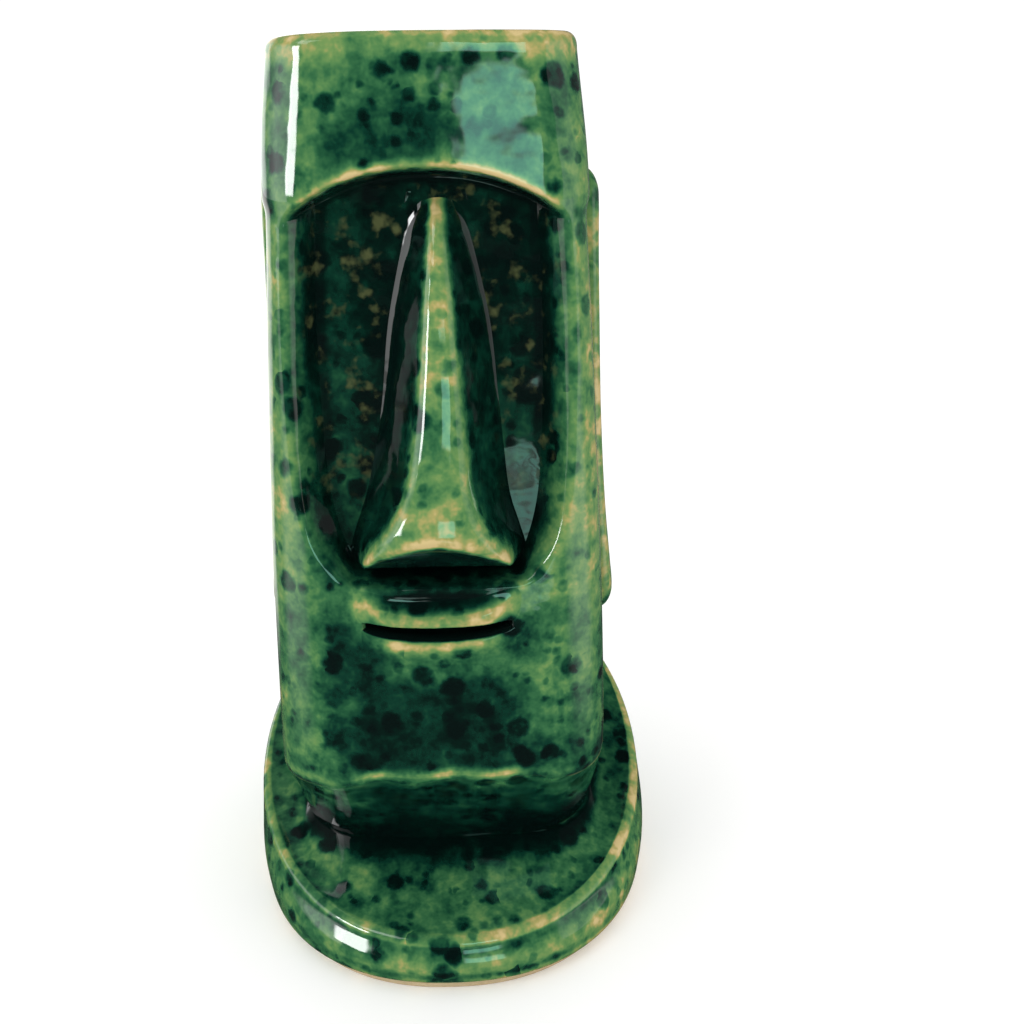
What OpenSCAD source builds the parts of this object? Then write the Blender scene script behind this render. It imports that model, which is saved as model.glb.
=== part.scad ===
// Tiki mug: a tall stone-head cup standing on a sloping oval plinth.
// Units are millimetres. +Z is up, the face looks towards -Y and the origin is
// the centre of the footprint, on the surface the mug stands on.

/* [Cup] */
// height from the table to the lip
mug_height = 180; // [150:1:210]
// thickness of the ceramic wall
wall = 4.5; // [3.5:0.1:7]
// half width of the head at the lip
lip_half_width = 27.7; // [22:0.1:34]
// half width of the head at the brow
brow_half_width = 30.1; // [24:0.1:36]
// half width of the head at the jaw
jaw_half_width = 33.4; // [26:0.1:40]
// half width of the neck under the jaw
neck_half_width = 29.5; // [24:0.1:36]
// distance from the axis to the front of the lip
lip_front = 27; // [22:0.1:34]
// distance from the axis to the front of the brow
brow_front = 31; // [25:0.1:38]
// distance from the axis to the front of the chin
chin_front = 40; // [32:0.1:46]
// distance from the axis to the front of the neck
neck_front = 25.5; // [20:0.1:32]
// distance from the axis to the back of the lip
lip_back = 27.5; // [22:0.1:34]
// distance from the axis to the back of the head below the brow
head_back = 34; // [28:0.1:40]

/* [Face] */
// height of the brow edge on the centre line
brow_height = 158.6; // [130:0.1:180]
// how far the brow edge drops towards the temples
brow_drop = 8; // [0:0.1:14]
// distance from the axis to the hollow of the face under the brow
hollow_front = 24; // [20:0.1:30]
// height of the ledge that closes the hollow of the face below the nose
ledge_height = 88; // [80:0.1:96]
// height of the slit of the mouth
mouth_height = 75.6; // [70:0.1:80]
// half width of the lips
mouth_half_width = 14.5; // [10:0.1:18]
// how far the lips stand out
lip_relief = 1.8; // [1:0.1:3]
// how far the tip of the nose stands out from the axis
nose_front = 46; // [38:0.1:52]
// height of the lower edge of the chin
chin_height = 42.5; // [36:0.1:50]

/* [Ears] */
// height of the top of an ear
ear_top = 156; // [120:0.1:165]
// height of the bottom of an ear
ear_bottom = 61; // [50:0.1:90]
// front edge of an ear, measured behind the axis
ear_near = -4; // [-10:0.1:4]
// back edge of an ear, measured behind the axis
ear_far = 11; // [6:0.1:16]

/* [Plinth] */
// half width of the plinth at its widest
plinth_half_width = 46; // [38:0.1:56]
// half depth of the plinth at its deepest
plinth_half_depth = 52; // [44:0.1:62]
// half width of the plinth along its upper ridge
ridge_half_width = 42.3; // [36:0.1:52]
// half depth of the plinth along its upper ridge
ridge_half_depth = 49; // [40:0.1:58]
// height of the ridge in front
ridge_low = 11.5; // [8:0.1:20]
// height of the ridge behind the head
ridge_high = 47; // [20:0.1:60]
// height at which the neck meets the plinth in front
collar_low = 19; // [12:0.1:30]
// height at which the back of the head meets the plinth
collar_high = 50; // [24:0.1:64]

/* [Foot] */
// height of the bare foot ring
foot_height = 1.5; // [1:0.1:4]
// width of the bare foot ring
foot_width = 9; // [5:0.1:14]
// how far the foot ring is set in from the plinth's edge
foot_inset = 2.5; // [1:0.1:6]

/* [Hidden] */
glaze_green = [0.10, 0.38, 0.26];
bare_clay = [0.78, 0.66, 0.48];

// ---- small helpers -------------------------------------------------------
function mix(a, b, t) = a + (b - a) * t;
function unit(t) = min(1, max(0, t));
function smooth(a, b, v) = let (t = unit((v - a) / (b - a))) t * t * (3 - 2 * t);
function mirrored(p) = [-p[0], p[1], p[2]];

// ---- plan of the head at any height --------------------------------------
jaw_soften = 2.0;
// how far the back of the head leans in between the collar and the brow
back_lean = 3;
// radii of the plan's corners, at the chin and at the brow
front_radius_low = 13;
front_radius_high = 9.5;
back_radius_low = 17;
back_radius_high = 14;
least_radius = 4;
// the hollow of the face narrows from the eyes to the wings of the nose
hollow_half_low = 18;
hollow_half_high = 25.5;
wing_low = 84;
wing_high = 112;
// the deepest row of the hollow is this far under the brow edge
brow_undercut = 4;
function jaw_to_brow(z) = unit((z - chin_height) / (brow_height - chin_height));
function brow_to_lip(z) = unit((z - brow_height) / (mug_height - brow_height));
function under_jaw(z) = unit((z - collar_low) / (chin_height - jaw_soften / 2 - collar_low));
function half_width(z) =
    z > brow_height ? mix(brow_half_width, lip_half_width, brow_to_lip(z))
    : z > chin_height ? mix(jaw_half_width, brow_half_width, jaw_to_brow(z))
    : mix(neck_half_width, jaw_half_width, pow(under_jaw(z), 0.8));
function front_depth(z) =
    z > brow_height ? mix(brow_front, lip_front, brow_to_lip(z))
    : z > chin_height ? mix(chin_front, brow_front, jaw_to_brow(z))
    : mix(neck_front, chin_front, under_jaw(z));
function back_depth(z) =
    z > brow_height ? mix(head_back - back_lean, lip_back, brow_to_lip(z))
    : mix(head_back, head_back - back_lean, jaw_to_brow(z));
function front_radius(z) = mix(front_radius_low, front_radius_high, jaw_to_brow(z));
function back_radius(z) = mix(back_radius_low, back_radius_high, jaw_to_brow(z));
function hollow_half_width(z) = mix(hollow_half_low, hollow_half_high, smooth(wing_low, wing_high, z));
// the floor of the hollow is one flat, slightly leaning plane
hollow_lean = 4 / 60;
function hollow_depth(z) = hollow_front + (brow_height - brow_undercut - z) * hollow_lean;

// points along one half of the outline, from the front centre to the back centre
face_parts = [0, 0.17, 0.34, 0.51, 0.68, 0.80, 0.92, 1];
last_face = len(face_parts) - 1;
corner_steps = 6;
side_steps = 3;
back_corner_steps = 5;
back_steps = 3;
last_corner = last_face + corner_steps;
last_side = last_corner + side_steps;
last_back_corner = last_side + back_corner_steps;
half_count = last_back_corner + back_steps;
ring_count = 2 * half_count;

// a point on the rounded front, a length l from the front centre
function front_arc(l, w, f, r) =
    l <= w - r ? [l, -f]
    : let (a = (l - (w - r)) / r * 180 / PI) [w - r + r * sin(a), -f + r - r * cos(a)];
function front_at(x, w, f, r) =
    x <= w - r ? [x, -f] : let (a = asin(unit((x - w + r) / r))) [x, -f + r - r * cos(a)];
function length_at(x, w, r) = x <= w - r ? x : w - r + r * asin(unit((x - w + r) / r)) * PI / 180;

function half_outline(i, z, inset) =
    let (
        w = half_width(z) - inset,
        f = front_depth(z) - inset,
        b = back_depth(z) - inset,
        rf = max(front_radius(z) - inset, least_radius),
        rb = max(back_radius(z) - inset, least_radius),
        e = min(hollow_half_width(z), w - 3)
    )
    i <= last_face ? front_at(e * face_parts[i], w, f, rf)
    : i <= last_corner ? front_arc(
        mix(length_at(e, w, rf), w - rf + rf * PI / 2, (i - last_face) / corner_steps), w, f, rf)
    : i <= last_side ? [w, mix(-f + rf, b - rb, (i - last_corner) / side_steps)]
    : i <= last_back_corner ? let (a = 90 * (i - last_side) / back_corner_steps)
        [w - rb + rb * cos(a), b - rb + rb * sin(a)]
    : [mix(w - rb, 0, (i - last_back_corner) / back_steps), b];

// share of the way round from the front (0) to the back (1) of a column
function column_share(i) =
    let (p = half_outline(i, chin_height, 0)) atan2(p[0] / jaw_half_width, -p[1] / chin_front) / 180;
function rise(share) = pow((1 - cos(180 * share)) / 2, 1.5);
function collar_height(i) = mix(collar_low, collar_high, rise(column_share(i)));
function ridge_height(share) = mix(ridge_low, ridge_high, rise(share));

// a full ring of points from the points of one half
function whole_ring(half) = concat(
    [for (i = [0 : half_count]) half[i]],
    [for (i = [half_count - 1 : -1 : 1]) mirrored(half[i])]);

// ---- meshes of stacked rings ---------------------------------------------
// rings run anticlockwise seen from above and climb the outside first
function ring_faces(rings, count, closed) = [
    for (r = [0 : rings - (closed ? 1 : 2)])
        for (i = [0 : count - 1])
            let (
                j = (i + 1) % count,
                a = r * count + i,
                b = r * count + j,
                c = ((r + 1) % rings) * count + j,
                d = ((r + 1) % rings) * count + i
            )
            each [[a, d, c], [a, c, b]]
];
function flat_points(rings) = [for (ring = rings) each ring];
module ring_tube(rings) {
    polyhedron(points = flat_points(rings), faces = ring_faces(len(rings), len(rings[0]), true));
}
module ring_solid(rings) {
    count = len(rings[0]);
    top = (len(rings) - 1) * count;
    polyhedron(
        points = flat_points(rings),
        faces = concat(
            ring_faces(len(rings), count, false),
            [[for (i = [0 : count - 1]) i]],
            [[for (i = [count - 1 : -1 : 0]) top + i]]));
}

// ---- head ----------------------------------------------------------------
// the brow edge is an arch, so the rows near it bend down towards the temples
function arch_share(i) =
    i <= last_face ? pow(face_parts[i], 2)
    : i <= last_corner ? 1 - (i - last_face) / corner_steps
    : 0;
function arch_weight(z) = smooth(118, 150, z) * (1 - smooth(brow_height + 1, brow_height + 14, z));
function arched(i, z) = z - brow_drop * arch_share(i) * arch_weight(z);
function hollow_edge(i) = i > last_face ? 0 : 1 - smooth(0.80, 1, face_parts[i]);

// hollow is 1 on a row that belongs to the hollowed face and 0 elsewhere
function outer_point(i, z, hollow) =
    let (
        p = half_outline(i, z, 0),
        sunk = hollow * hollow_edge(i) * max(0, front_depth(z) - hollow_depth(z))
    )
    [p[0], p[1] + sunk, z];

low_rows = [0, 0.12, 0.3, 0.46, 0.5, 0.54, 0.75, 1];
low_top = 64;
ledge_drop = 0.4;
brow_lip = 0.9;
lip_round = 1.3;
face_rows = [
    [72, 0], [80, 0], [ledge_height, 0], [ledge_height + ledge_drop, 1], [94, 1], [100, 1],
    [108, 1], [118, 1], [128, 1], [138, 1], [147, 1], [brow_height - brow_undercut, 1],
    [brow_height - brow_lip, 1], [brow_height, 0], [brow_height + 3, 0], [168, 0],
    [mug_height - 2 * lip_round, 0]
];
outer_low = [
    for (s = low_rows)
        [for (i = [0 : half_count]) outer_point(i, mix(collar_height(i), low_top, s), 0)]
];
outer_face = [for (row = face_rows) [for (i = [0 : half_count]) outer_point(i, arched(i, row[0]), row[1])]];

// the inside keeps clear of the hollowed face
function face_clearance(z) = smooth(72, 86, z) * (1 - smooth(158, 168, z));
function inner_point(i, z) =
    let (
        p = half_outline(i, z, wall),
        clear = face_clearance(z) * max(0, front_depth(z) - hollow_depth(z)),
        depth = unit(-p[1] / (front_depth(z) - wall))
    )
    [p[0], p[1] + clear * pow(depth, 3), z];
lip_rings = [
    for (s = [[0.35, 0.55], [1.4, 0], [wall - 1.4, 0], [wall - 0.35, 0.55]])
        [for (i = [0 : half_count])
            let (p = half_outline(i, mug_height, s[0])) [p[0], p[1], mug_height - s[1] * lip_round]]
];
inner_high = [
    for (z = [mug_height - 2 * lip_round, 170, 160, 150, 135, 118, 100, 90, 82, 74, low_top])
        [for (i = [0 : half_count]) inner_point(i, z)]
];
inner_low = [
    for (s = [0.75, 0.5, 0.25, 0])
        [for (i = [0 : half_count]) inner_point(i, mix(collar_height(i), low_top, s))]
];
function whole_rings(halves) = [for (half = halves) whole_ring(half)];

module head_cup() {
    color(glaze_green)
    ring_tube(whole_rings(concat(outer_low, outer_face, lip_rings, inner_high, inner_low)));
}

// ---- plinth --------------------------------------------------------------
centre_shift = 0.5;
// the top starts this far inside the ridge and this far under it
top_inset = 2.4;
top_drop = 0.5;
top_sweep = 1.7;
// the widest part of the wall is this far above the foot, its top this far under the ridge
bulge_rise = 3.5;
bulge_under_ridge = 3;
// how far the wall stands inside the plinth's full size low down, across and along
bulge_inset = [0.3, 0.2];
// and outside the ridge at its top
bulge_out = 1.9;
bulge_bend = 1.5;
// [inset across, inset along, height above the foot] of the two rings that round the lower edge
lower_edge = [[2.6, 2.2, 0], [1.2, 0.8, 1]];
// [out from the ridge, down from it] of the rings that round the upper edge
upper_edge = [[1.1, 1.2], [0, 0.2], [-1.2, 0]];
// places on the underside of the shell, as shares of the way from the ridge to the neck
shell_neck = 0.86;
shell_middle = 0.55;
shell_edge = 0.34;
function oval(share, a, b) = [a * sin(180 * share), centre_shift - b * cos(180 * share)];
// share of the plinth's own oval that lies nearest a column of the head
function plinth_point(i, a, b, z) = let (p = oval(column_share(i), a, b)) [p[0], p[1], z];
function ridge_point(i, out, down) =
    plinth_point(i, ridge_half_width + out, ridge_half_depth + out, ridge_height(column_share(i)) - down);
// the top of the plinth sweeps from the ridge up to the neck
function top_point(i, s) =
    let (
        r = ridge_point(i, -top_inset, top_drop),
        n = outer_point(i, collar_height(i), 0)
    )
    [mix(r[0], n[0], s), mix(r[1], n[1], s), mix(r[2], n[2], pow(s, top_sweep))];
// the shell is about as thick as the wall, so the inside follows the outside
function under_point(i, s) = let (t = top_point(i, s)) [t[0], t[1], t[2] - wall];
plinth_floor = foot_height + wall;
function plinth_bulge(i, share) =
    let (top = ridge_height(column_share(i)) - bulge_under_ridge)
    [
        mix(plinth_half_width - bulge_inset[0], ridge_half_width + bulge_out, pow(share, bulge_bend)),
        mix(plinth_half_depth - bulge_inset[1], ridge_half_depth + bulge_out, pow(share, bulge_bend)),
        mix(foot_height + bulge_rise, top, share)
    ];
function wall_point(i, share) = let (q = plinth_bulge(i, share)) plinth_point(i, q[0], q[1], q[2]);
plinth_rings = concat(
    [
        for (e = lower_edge) [for (i = [0 : half_count])
            plinth_point(i, plinth_half_width - e[0], plinth_half_depth - e[1], foot_height + e[2])]
    ],
    [for (s = [0, 0.35, 0.7, 1]) [for (i = [0 : half_count]) wall_point(i, s)]],
    [for (e = upper_edge) [for (i = [0 : half_count]) ridge_point(i, e[0], e[1])]],
    [for (s = [0, 0.2, 0.4, 0.6, 0.8, 1]) [for (i = [0 : half_count]) top_point(i, s)]],
    [
        [for (i = [0 : half_count]) inner_point(i, collar_height(i))],
        [for (i = [0 : half_count])
            let (u = under_point(i, shell_neck), v = inner_point(i, collar_height(i)))
            [mix(u[0], v[0], 0.5), mix(u[1], v[1], 0.5), u[2] + 0.6]],
        [for (i = [0 : half_count]) under_point(i, shell_middle)],
        [for (i = [0 : half_count])
            let (u = under_point(i, shell_edge)) [u[0], u[1], max(u[2], plinth_floor + 1.2)]],
        [for (i = [0 : half_count])
            let (u = under_point(i, shell_edge)) [u[0] * 0.97, u[1] * 0.97, plinth_floor]]
    ]
);

module plinth() {
    color(glaze_green)
    ring_solid(whole_rings(plinth_rings));
}

// ---- foot ----------------------------------------------------------------
foot_sides = 96;
function oval_outline(a, b) = [
    for (k = [0 : foot_sides - 1])
        [a * sin(360 * k / foot_sides), centre_shift - b * cos(360 * k / foot_sides)]
];
module foot_ring() {
    outer = foot_inset + 1;
    color(bare_clay)
    linear_extrude(foot_height)
    difference() {
        polygon(oval_outline(plinth_half_width - outer, plinth_half_depth - outer));
        polygon(oval_outline(plinth_half_width - outer - foot_width, plinth_half_depth - outer - foot_width));
    }
}

// ---- nose ----------------------------------------------------------------
nose_top = 151;
tip_height = 96;
wing_half_width = 14.2;
wing_height = 92;
// the edge of a wing hangs a little under its root
wing_drop = [1.5, 0.5];
wing_out = 5;
tip_half_width = wing_half_width - 3;
tip_setback = 3;
// [height, half width at the face, half width of the ridge, how far the ridge stands out]
nose_rows = [
    [nose_top, 4.6, 1.4, 0.4], [148, 5.2, 1.7, 3.4], [140, 6.6, 2.6, 5.6], [130, 8.2, 3.2, 8.2],
    [120, 9.4, 4.2, 10.8], [110, 10.4, 5.2, 13.2], [103, 11.6, 6.2, 15.2], [98, 13, 8, 17]
];
function nose_ring(z, base, ridge, out) =
    let (y = -hollow_depth(z))
    [
        [-base, y, z], [-mix(base, ridge, 0.45), y - 0.35 * out, z], [-ridge, y - 0.93 * out, z],
        [0, y - out, z],
        [ridge, y - 0.93 * out, z], [mix(base, ridge, 0.45), y - 0.35 * out, z], [base, y, z]
    ];
// the lower edge of the nose is an arch: the tip is higher than the wings
nose_edge = [
    [-wing_half_width, -hollow_depth(wing_height), wing_height],
    [-wing_half_width, -hollow_depth(wing_height) - wing_out, wing_height - wing_drop[0]],
    [-tip_half_width, tip_setback - nose_front, wing_height - wing_drop[1]],
    [0, -nose_front, tip_height],
    [tip_half_width, tip_setback - nose_front, wing_height - wing_drop[1]],
    [wing_half_width, -hollow_depth(wing_height) - wing_out, wing_height - wing_drop[0]],
    [wing_half_width, -hollow_depth(wing_height), wing_height]
];
// the foot of the nose rests on the ledge under the hollow
function ledge_point(x, y) =
    let (
        back = hollow_depth(ledge_height + ledge_drop),
        front = front_depth(ledge_height),
        t = (-y - back) / (front - back)
    )
    [x, y, ledge_height + ledge_drop * (1 - t)];
ledge_back = -hollow_depth(ledge_height + ledge_drop);
ledge_front = -front_depth(ledge_height);
nose_foot = [
    ledge_point(-wing_half_width + 0.6, ledge_back),
    ledge_point(-wing_half_width + 0.6, mix(ledge_back, ledge_front, 0.5)),
    ledge_point(-wing_half_width + 2.4, mix(ledge_back, ledge_front, 0.92)),
    ledge_point(0, mix(ledge_back, ledge_front, 0.97)),
    ledge_point(wing_half_width - 2.4, mix(ledge_back, ledge_front, 0.92)),
    ledge_point(wing_half_width - 0.6, mix(ledge_back, ledge_front, 0.5)),
    ledge_point(wing_half_width - 0.6, ledge_back)
];
nose_climb = [for (k = [len(nose_rows) - 1 : -1 : 0])
    nose_ring(nose_rows[k][0], nose_rows[k][1], nose_rows[k][2], nose_rows[k][3])];

module nose() {
    color(glaze_green)
    ring_solid(concat([nose_foot, nose_edge], nose_climb));
}

// ---- lips ----------------------------------------------------------------
face_tilt = atan((chin_front - brow_front) / (brow_height - chin_height));
mouth_slit = 1.5;
mouth_sag = 0.7;
lip_points = 24;
// lays a flat shape on the leaning front of the face, upright about a height
module on_face(z) {
    translate([0, -front_depth(z), z])
    rotate([90 - face_tilt, 0, 0])
    children();
}
function lip_x(k) = mix(-mouth_half_width, mouth_half_width, k / lip_points);
function sag(x, depth) = -depth * (1 - pow(x / mouth_half_width, 2));
function swell(x, height) = height * pow(max(0, 1 - pow(x / mouth_half_width, 4)), 0.6);
module upper_lip() {
    color(glaze_green)
    on_face(mouth_height)
    linear_extrude(lip_relief)
    polygon(concat(
        [for (k = [0 : lip_points]) let (x = lip_x(k)) [x, mouth_slit / 2 + sag(x, mouth_sag)]],
        [for (k = [lip_points : -1 : 0])
            let (x = lip_x(k)) [x, mouth_slit / 2 + 0.9 + swell(x, 5.8)]]));
}
module lower_lip() {
    color(glaze_green)
    on_face(mouth_height)
    linear_extrude(lip_relief)
    polygon(concat(
        [for (k = [lip_points : -1 : 0])
            let (x = lip_x(k)) [x, -mouth_slit / 2 + sag(x, mouth_sag)]],
        [for (k = [0 : lip_points])
            let (x = lip_x(k)) [x, -mouth_slit / 2 - 1.2 - swell(x, 3.2)]]));
}

// ---- ears ----------------------------------------------------------------
// [height against the head, height of the outer edge, thickness, trim of the near and far edges]
ear_rows = [
    [ear_bottom, ear_bottom + 6, 5.2, 2.5], [ear_bottom + 9, ear_bottom + 11, 4.4, 0.8],
    [ear_bottom + 24, ear_bottom + 24, 3.4, 0], [ear_bottom + 46, ear_bottom + 46, 2.7, 0],
    [ear_bottom + 70, ear_bottom + 70, 2.8, 0], [ear_top - 8, ear_top - 9, 3.1, 0.6],
    [ear_top - 2.5, ear_top - 4.5, 2.8, 2.4], [ear_top, ear_top - 2.5, 1.6, 4.5]
];
ear_chamfer = 1;
function ear_ring(row) =
    let (
        zi = row[0],
        zo = row[1],
        t = row[2],
        near = ear_near + row[3],
        far = ear_far - row[3],
        xi = half_width(zi),
        xo = half_width(zo) + t
    )
    [
        [xi, near, zi], [mix(xi, xo, 0.6), near, mix(zi, zo, 0.6)], [xo, near + ear_chamfer, zo],
        [xo, far - ear_chamfer, zo], [mix(xi, xo, 0.6), far, mix(zi, zo, 0.6)], [xi, far, zi]
    ];
module ear() {
    color(glaze_green)
    ring_solid([for (row = ear_rows) ear_ring(row)]);
}
module right_ear() {
    ear();
}
module left_ear() {
    mirror([1, 0, 0])
    ear();
}

head_cup();
plinth();
foot_ring();
nose();
upper_lip();
lower_lip();
left_ear();
right_ear();
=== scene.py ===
"""Looks of the tiki mug: glazed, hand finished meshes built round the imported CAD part."""

import math

import bpy
import numpy as np
from mathutils import Matrix, Vector


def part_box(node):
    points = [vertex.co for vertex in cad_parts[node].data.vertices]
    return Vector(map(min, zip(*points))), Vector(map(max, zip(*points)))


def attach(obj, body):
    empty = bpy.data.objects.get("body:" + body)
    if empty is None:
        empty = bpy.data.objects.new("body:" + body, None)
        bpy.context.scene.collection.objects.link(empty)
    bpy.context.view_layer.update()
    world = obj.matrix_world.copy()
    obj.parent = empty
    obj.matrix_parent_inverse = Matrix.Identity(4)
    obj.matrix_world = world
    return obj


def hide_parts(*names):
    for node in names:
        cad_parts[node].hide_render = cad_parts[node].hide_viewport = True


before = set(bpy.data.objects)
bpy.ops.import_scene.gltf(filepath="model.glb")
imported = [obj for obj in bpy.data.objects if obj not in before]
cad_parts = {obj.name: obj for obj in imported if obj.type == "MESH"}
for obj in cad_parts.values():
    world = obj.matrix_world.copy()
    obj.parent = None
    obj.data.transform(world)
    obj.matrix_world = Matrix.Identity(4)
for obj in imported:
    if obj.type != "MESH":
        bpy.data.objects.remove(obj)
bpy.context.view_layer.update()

MM = 0.001

# ---- sizes, in millimetres, the same as the CAD part's ---------------------
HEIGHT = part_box("head_cup")[1].z / MM
BROW, CHIN = 158.6, 42.5
JAW_HALF = 33.4
LIP_FRONT, BROW_FRONT, CHIN_FRONT, NECK_FRONT = 27.0, 31.0, 40.0, 25.5
LIP_BACK, HEAD_BACK = 27.5, 34.0
HOLLOW_FRONT, HOLLOW_LEAN = 24.0, 4 / 60
COLLAR_LOW, COLLAR_HIGH = 19.0, 50.0
RIDGE_LOW, RIDGE_HIGH = 11.5, 47.0
RIDGE_HALF, RIDGE_DEEP = 42.3, 49.0
WALL = 4.5
FOOT_HEIGHT = 1.5
FOOT_WIDTH = 9.0
OVAL_SHIFT = 0.5
EAR_TOP = 156.0

# ---- sizes of the finished mesh alone ----------------------------------------
EAR_BOTTOM = 59.5
RIM_ROUND = 3.0
LOW_TOP = 64.0  # below this the rows of the head follow the slope of the collar
COLLAR_TUCK = 2.5  # how far the head runs down into the plinth
PLINTH_SQUARE, RIDGE_SQUARE = 2.25, 2.05  # powers of the plinth's oval, low down and along its ridge
PLINTH_ACROSS, PLINTH_ALONG = 43.7, 51.8  # half its width and half its depth, low down
LOWER_EDGE, UPPER_EDGE = 2.0, 1.9  # radii of the plinth's edges


# ---- helpers ----------------------------------------------------------------
def mix(a, b, t):
    return a + (b - a) * t


def unit(t):
    return np.clip(t, 0.0, 1.0)


def smooth(a, b, v):
    t = unit((v - a) / (b - a))
    return t * t * (3 - 2 * t)


def soft_min(a, b, k):
    return -k * np.logaddexp(-a / k, -b / k)


def soft_max(a, b, k):
    return k * np.logaddexp(a / k, b / k)


def bell(v, width):
    return np.exp(-((v / width) ** 2))


def curve(points, v):
    """A smooth curve through a few (place, value) points."""
    xs, ys = np.array(points, float).T
    order = np.argsort(xs)
    xs, ys = xs[order], ys[order]
    slope = np.gradient(ys, xs)
    i = np.clip(np.searchsorted(xs, v) - 1, 0, len(xs) - 2)
    h = xs[i + 1] - xs[i]
    t = unit((v - xs[i]) / h)
    a = (1 + 2 * t) * (1 - t) ** 2 * ys[i] + t * (1 - t) ** 2 * h * slope[i]
    return a + t * t * (3 - 2 * t) * ys[i + 1] + t * t * (t - 1) * h * slope[i + 1]


def spaced(stops):
    """Values from the first stop to the last, each stretch with its own step: (value, step after it)."""
    out = []
    for (a, step), (b, _) in zip(stops, stops[1:]):
        n = max(1, round(abs(b - a) / step))
        out.extend(np.linspace(a, b, n, endpoint=False))
    out.append(stops[-1][0])
    return np.array(out)


def sway(p, period, seed):
    """A slow wave over space, the slight unevenness of cast and fettled clay."""
    rng = np.random.default_rng(seed)
    total = 0
    for _ in range(5):
        direction = rng.normal(size=3)
        direction /= np.linalg.norm(direction)
        scale = 2 * math.pi / (period * rng.uniform(0.6, 1.7))
        total = total + np.sin((p @ direction) * scale + rng.uniform(0, 6.28))
    return total / 5


# ---- plan of the head at any height -----------------------------------------
def to_brow(z):
    return unit((z - CHIN) / (BROW - CHIN))


def to_lip(z):
    return unit((z - BROW + 6) / (HEIGHT - BROW + 6)) ** 1.4


def front_depth(z):
    face = mix(CHIN_FRONT, BROW_FRONT, (z - CHIN) / (BROW - CHIN))
    face = face - (BROW_FRONT - LIP_FRONT - 1.7) * to_lip(z)
    rise = np.maximum(z - COLLAR_LOW, 0) / (CHIN - COLLAR_LOW)
    under = NECK_FRONT + (CHIN_FRONT - NECK_FRONT + 1) * rise**1.3
    return soft_min(face, under, 0.5)


def half_width(z, back=0.0):
    """Below the brow the sides step in a little, towards the front."""
    jaw = [(40, JAW_HALF), (60, 33.0), (85, 32.2)]
    temple = [(162, 28.7), (176, 27.4), (181, 26.9)]
    face = curve([*jaw, (110, 30.9), (130, 29.8), (150, 28.6), (162, 28.2)], z)
    side = mix(face, curve([(150, 29.3), *temple], z), smooth(150, 153, z))
    even = curve([*jaw, (110, 31.1), (130, 30.3), (150, 29.4), *temple], z)
    side = mix(side, even, back)
    under = 31.4 + np.maximum(z - 22, 0) * 0.12
    return soft_min(side, under, 0.45)


def back_depth(z):
    return mix(HEAD_BACK, HEAD_BACK - 3, to_brow(z)) - (HEAD_BACK - 3 - LIP_BACK) * to_lip(z)


def front_radius(z):
    return mix(13, 9, to_brow(z))


def back_radius(z):
    return mix(17, 14, to_brow(z))


def hollow_half(z):
    low = [(70, 15.5), (79, 17), (86, 20.6), (92, 23.2), (98, 24.8)]
    return curve([*low, (104, 25.5), (118, 26.1), (132, 26.1), (150, 25), (165, 24)], z)


def hollow_depth(z):
    return HOLLOW_FRONT + (BROW - 4 - z) * HOLLOW_LEAN


def outline(part, t, z, inset=0.0):
    """A point of the head's plan at height z. part is 0 face, 1 corner, 2 side, 3 back corner, 4 back."""
    behind = np.where(part < 2, 0.0, np.where(part == 2, smooth(0.0, 0.4, t), 1.0))
    w, f, b = half_width(z, behind) - inset, front_depth(z) - inset, back_depth(z) - inset
    rf, rb = np.maximum(front_radius(z) - inset, 4), np.maximum(back_radius(z) - inset, 4)
    e = np.minimum(hollow_half(z), w - 3)
    over = unit((e - w + rf) / rf)
    start = np.where(e <= w - rf, e, w - rf + rf * np.arcsin(over))
    length = np.where(part == 0, 0, mix(start, w - rf + rf * math.pi / 2, t))
    x0 = e * t
    a0 = np.arcsin(unit((x0 - w + rf) / rf))
    a1 = np.maximum(length - w + rf, 0) / rf
    a3 = t * math.pi / 2
    xs = [
        x0,
        np.where(length <= w - rf, length, w - rf + rf * np.sin(a1)),
        w + 0 * t,
        w - rb + rb * np.cos(a3),
        mix(w - rb, 0, t),
    ]
    ys = [
        -f + rf - rf * np.cos(a0),
        -f + rf - rf * np.cos(a1),
        mix(-f + rf, b - rb, t),
        b - rb + rb * np.sin(a3),
        b + 0 * t,
    ]
    return np.choose(part, xs), np.choose(part, ys)


PARTS = (42, 26, 20, 20, 14)
CREASE = 33  # the column along which the floor of the hollow meets its side
part_of = np.concatenate([np.full(n, k) for k, n in enumerate(PARTS)] + [[4]])
share_of = np.concatenate([np.arange(n) / n for n in PARTS] + [[1.0]])
HALF_COLUMNS = len(part_of)


def both_sides(half):
    """A full ring of columns from those of the right half."""
    left = half[:, -2:0:-1] * np.array([-1, 1, 1])
    return np.concatenate([half, left], axis=1)


def soften(p, times):
    """Evens out the curvature along each ring of columns."""
    for _ in range(times):
        p = 0.25 * np.roll(p, 1, 1) + 0.5 * p + 0.25 * np.roll(p, -1, 1)
    return p


# ---- how far round from the front a column stands ----------------------------
chin_x, chin_y = outline(part_of, share_of, np.full(HALF_COLUMNS, CHIN))
around = np.arctan2(chin_x / JAW_HALF, -chin_y / CHIN_FRONT)
rise = ((1 - np.cos(around)) / 2) ** 1.5
collar = mix(COLLAR_LOW, COLLAR_HIGH, rise)


# ---- relief of the face ------------------------------------------------------
def brow_line(x):
    return BROW - 8.2 * np.minimum(np.abs(x) / 25, 1.15) ** 2.2


def mouth_line(x):
    return 74.5 + 1.0 * (x / 13.2) ** 2


def chin_line(x):
    return 44.2 - 1.5 * smooth(10, 25, -x) - 0.7 * smooth(14, 26, x) + 0.3 * np.sin(x * 0.42 + 0.6)


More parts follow.
